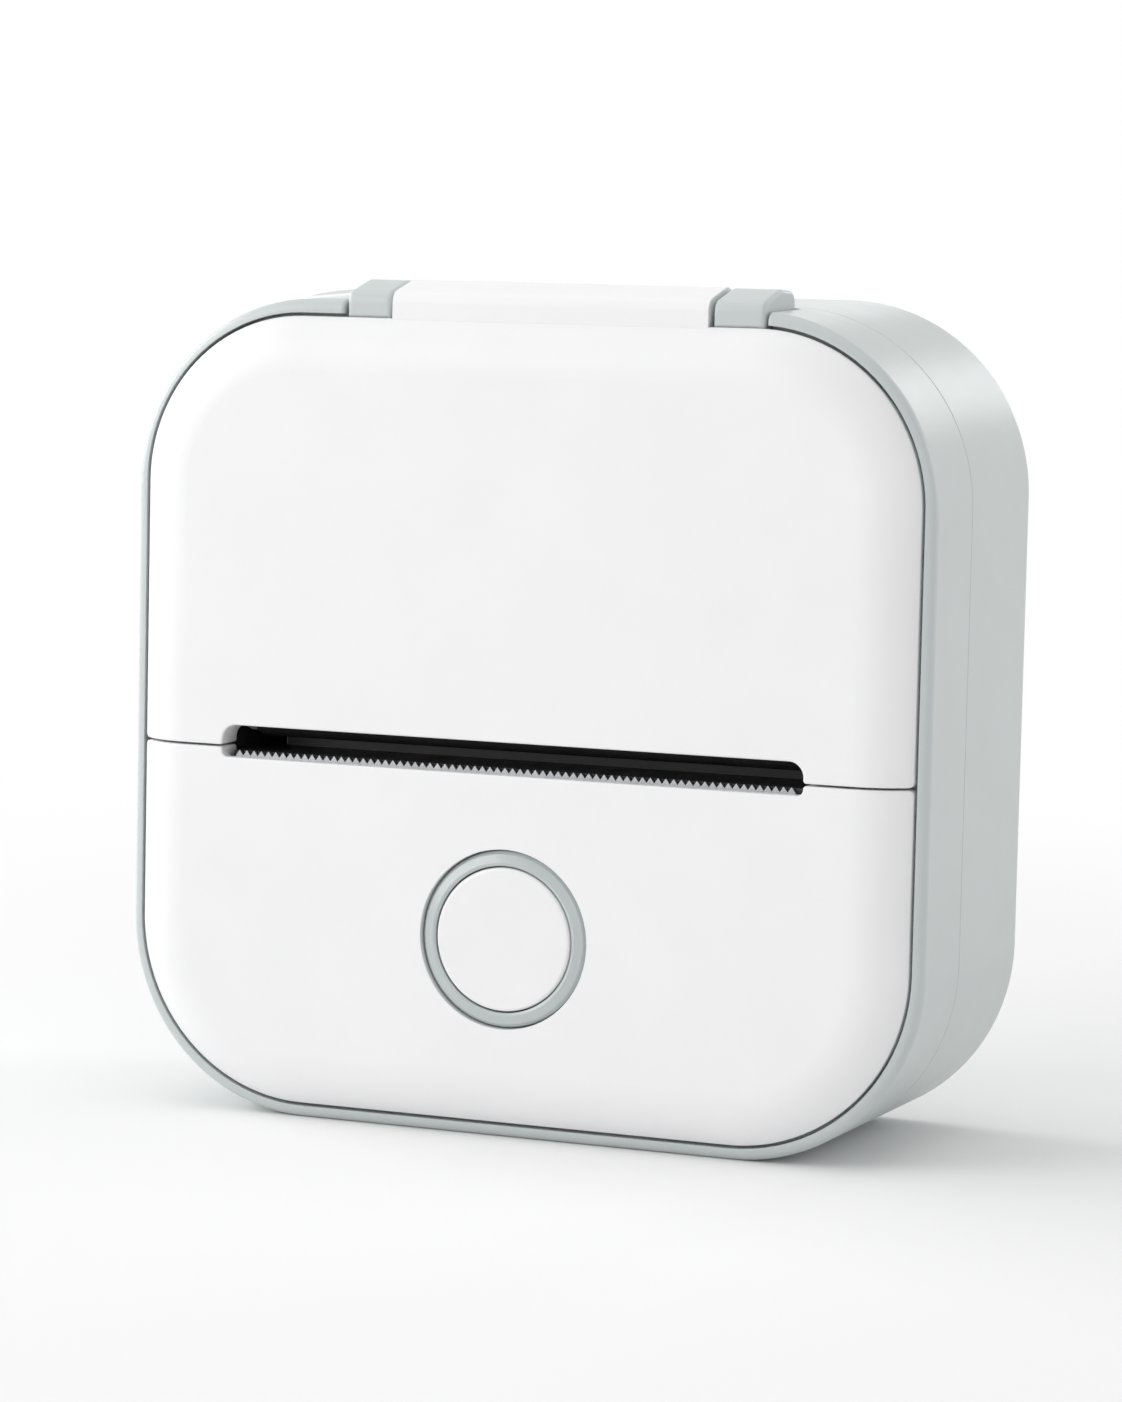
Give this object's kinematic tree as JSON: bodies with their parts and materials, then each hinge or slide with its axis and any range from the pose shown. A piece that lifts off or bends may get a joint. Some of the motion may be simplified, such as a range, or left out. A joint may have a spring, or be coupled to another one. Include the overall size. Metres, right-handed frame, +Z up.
{
  "type": "pocket printer",
  "caption": "Squarish pocket thermal printer standing on edge, with a top-hinged front cover that carries the platen, a saw-edged paper slot and a round push button.",
  "frame": {"origin": "on the standing surface, under the middle of the overall box", "axes": "+Z up, +Y from the front panel to the back, +X to the right seen from the front, along the cover's hinge pin"},
  "size_m": [0.084, 0.0324, 0.0835],
  "materials": {
    "case_plastic": "satin moulded ABS, greenish grey",
    "ring_plastic": "polished moulded ABS, greenish grey",
    "panel_plastic": "smooth moulded ABS, white",
    "button_plastic": "smooth moulded ABS, white",
    "eyelet_plastic": "smooth moulded ABS, white",
    "pin_steel": "ground",
    "rotor_steel": "ground",
    "spring_steel": "drawn and tempered",
    "blade_steel": "etched strip",
    "screw_steel": "bright zinc plated",
    "socket_steel": "nickel plated, deep drawn",
    "shield_steel": "tin plated",
    "motor_steel": "zinc plated, deep drawn",
    "heatsink_aluminium": "extruded, as cut",
    "brass": "turned",
    "black_plastic": "moulded",
    "guide_plastic": "moulded acetal, satin",
    "chassis_plastic": "glass-filled, moulded",
    "bin_plastic": "moulded ABS, satin",
    "liner_plastic": "moulded ABS, satin",
    "gear_plastic": "moulded acetal",
    "coil_plastic": "enamelled copper winding on a bobbin",
    "connector_plastic": "moulded nylon",
    "chip_plastic": "moulded epoxy",
    "light_plastic": "clear cast epoxy",
    "board_laminate": "solder mask on glass laminate",
    "flex_film": "polyimide film",
    "battery_wrap": "laminated foil pouch",
    "red_insulation": "extruded insulation",
    "black_insulation": "extruded insulation",
    "white_insulation": "extruded insulation",
    "platen_rubber": "ground silicone rubber",
    "head_ceramic": "glazed alumina"
  },
  "bodies": {
    "case": {"rear_shell": "case_plastic", "front_frame": "case_plastic", "lower_front_shell": "panel_plastic", "hinge_block_left": "case_plastic", "hinge_block_right": "case_plastic", "hinge_pin": "pin_steel", "strap_eyelet": "eyelet_plastic", "button_ring": "ring_plastic", "tear_blade": "blade_steel", "paper_guide": "guide_plastic", "mechanism_chassis": "chassis_plastic", "paper_bin": "bin_plastic", "paper_sensor": "black_plastic", "motor_can": "motor_steel", "motor_stator": "coil_plastic", "gear_posts": "pin_steel", "gear_clips": "spring_steel", "head_pivot_pin": "pin_steel", "head_springs": "spring_steel", "head_flex": "flex_film", "head_connector": "connector_plastic", "main_board": "board_laminate", "board_chips": "chip_plastic", "radio_shield": "shield_steel", "status_light": "light_plastic", "switch_body": "black_plastic", "battery_cell": "battery_wrap", "battery_connector": "connector_plastic", "battery_lead_red": "red_insulation", "battery_lead_black": "black_insulation", "motor_connector": "connector_plastic", "motor_leads": "white_insulation", "charging_board": "board_laminate", "charging_socket": "socket_steel", "shell_screws": "screw_steel", "chassis_screws": "screw_steel", "board_screws": "screw_steel", "bin_screws": "screw_steel", "motor_screws": "screw_steel"},
    "cover": {"upper_cover": "panel_plastic", "cover_liner": "liner_plastic", "cover_screws": "screw_steel", "platen_bushings": "gear_plastic"},
    "platen": {"platen_rubber": "platen_rubber", "platen_shaft": "pin_steel", "platen_gear": "gear_plastic", "platen_clip": "spring_steel"},
    "idler": {"idler_gear": "gear_plastic"},
    "compound": {"compound_gear": "gear_plastic"},
    "rotor": {"motor_rotor": "rotor_steel", "motor_pinion": "brass"},
    "head": {"head_heatsink": "heatsink_aluminium", "head_substrate": "head_ceramic"},
    "button": {"button_cap": "button_plastic", "switch_plunger": "black_plastic"}
  },
  "joints": [
    {"name": "cover_hinge", "type": "hinge", "parent": "case", "child": "cover", "pos_m": [0, -0.00897, 0.0814], "axis": [-1, 0, 0], "range_deg": [0, 105]},
    {"name": "platen_spin", "type": "hinge", "parent": "cover", "child": "platen", "pos_m": [0, -0.0093, 0.0412], "axis": [1, 0, 0], "continuous": true},
    {"name": "idler_spin", "type": "hinge", "parent": "case", "child": "idler", "pos_m": [-0.0347, 0.0001, 0.03778], "axis": [1, 0, 0], "continuous": true},
    {"name": "compound_spin", "type": "hinge", "parent": "case", "child": "compound", "pos_m": [-0.036, 0.00163, 0.02911], "axis": [1, 0, 0], "continuous": true},
    {"name": "motor_spin", "type": "hinge", "parent": "case", "child": "rotor", "pos_m": [-0.03, 0.00411, 0.01984], "axis": [1, 0, 0], "continuous": true},
    {"name": "head_pivot", "type": "hinge", "parent": "case", "child": "head", "pos_m": [0, -0.0034, 0.0342], "axis": [-1, 0, 0], "range_deg": [0, 2.5], "stiffness_Nm_per_rad": 0.1, "springref_deg": -17.19, "deforming": ["head_springs"]},
    {"name": "button_press", "type": "slide", "parent": "case", "child": "button", "axis": [0, 1, 0], "range_m": [0, 0.0004], "stiffness_N_per_m": 1500, "springref_m": -0.0005}
  ],
  "couplings": [
    {"joint": "idler_spin", "follows": "platen_spin", "ratio": -0.66667},
    {"joint": "compound_spin", "follows": "platen_spin", "ratio": 1.4286},
    {"joint": "motor_spin", "follows": "platen_spin", "ratio": -4.2857}
  ]
}
